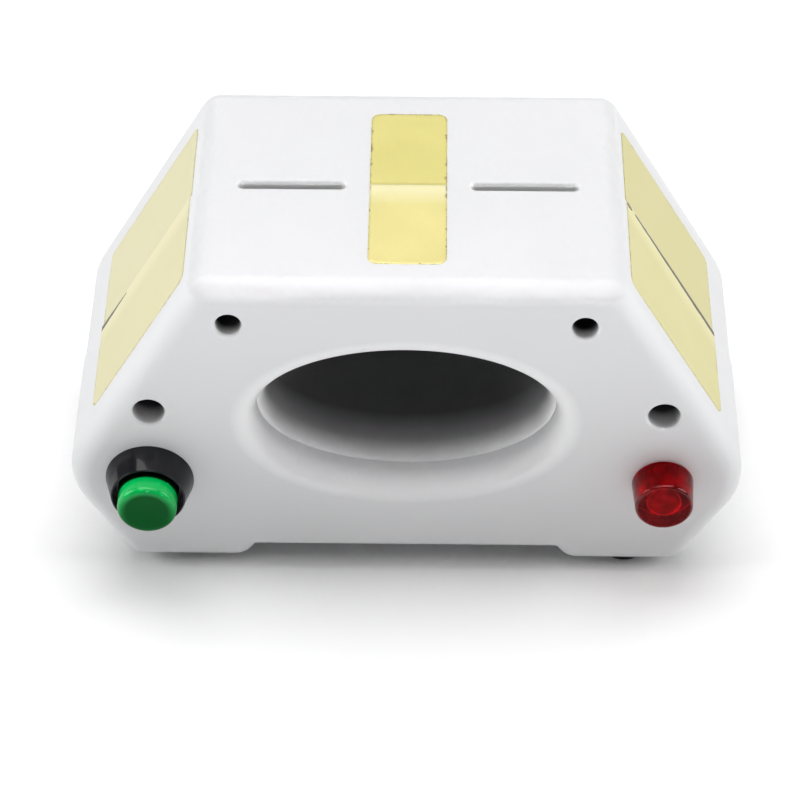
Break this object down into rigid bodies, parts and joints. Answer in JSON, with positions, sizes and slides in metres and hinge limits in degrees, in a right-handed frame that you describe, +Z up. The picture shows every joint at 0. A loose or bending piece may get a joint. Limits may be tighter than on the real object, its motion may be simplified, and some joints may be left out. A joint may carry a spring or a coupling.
{
  "type": "watch demagnetizer",
  "caption": "Mains coil demagnetizer: a two-part plastic case with an oval tunnel through it, a push button, an indicator lamp and foil labels.",
  "frame": {"origin": "under the middle of the whole object, on the surface that its rubber feet stand on", "axes": "+X to the right as the user sees the front, +Y from the front to the back, +Z up; the tunnel runs along Y"},
  "size_m": [0.15, 0.0864, 0.0837],
  "materials": {
    "case_plastic": "satin",
    "foil_label": "satin foil with a champagne-gold tint",
    "foot_rubber": "matte",
    "zinc_steel": "zinc plated",
    "nylon": "natural",
    "winding_copper": "enamelled copper",
    "winding_tape": "matte",
    "green_plastic": "gloss",
    "black_plastic": "gloss",
    "contact_brass": "plain",
    "spring_steel": "bright",
    "insulating_board": "matte",
    "red_lens": "transparent",
    "bulb_glass": "clear",
    "resistor_body": "lacquered",
    "gland_rubber": "matte",
    "red_insulation": "satin",
    "black_insulation": "satin",
    "blue_insulation": "satin"
  },
  "bodies": {
    "case": {"front_shell": "case_plastic", "rear_shell": "case_plastic", "rubber_feet": "foot_rubber", "upper_case_screws": "zinc_steel", "lower_case_screws": "zinc_steel", "coil_former": "nylon", "coil_winding": "winding_copper", "coil_tape": "winding_tape", "top_label": "foil_label", "left_label": "foil_label", "right_label": "foil_label", "return_spring": "spring_steel", "switch_bezel": "black_plastic", "switch_nut": "zinc_steel", "switch_base": "insulating_board", "switch_terminals": "contact_brass", "lamp_lens": "red_lens", "neon_bulb": "bulb_glass", "lamp_socket": "nylon", "lamp_nut": "black_plastic", "lamp_resistor": "resistor_body", "cord_gland": "gland_rubber", "terminal_block": "nylon", "terminal_inserts": "contact_brass", "terminal_screws": "zinc_steel", "block_screw": "zinc_steel", "switch_wire": "red_insulation", "coil_wires": "black_insulation", "lamp_wires": "blue_insulation"},
    "push_button": {"button_cap": "green_plastic", "button_stem": "nylon", "contact_bridge": "contact_brass"}
  },
  "joints": [
    {"name": "button_press", "type": "slide", "parent": "case", "child": "push_button", "axis": [0, 1, 0], "range_m": [0, 0.003], "stiffness_N_per_m": 400, "springref_m": -0.004, "deforming": ["return_spring"]}
  ]
}
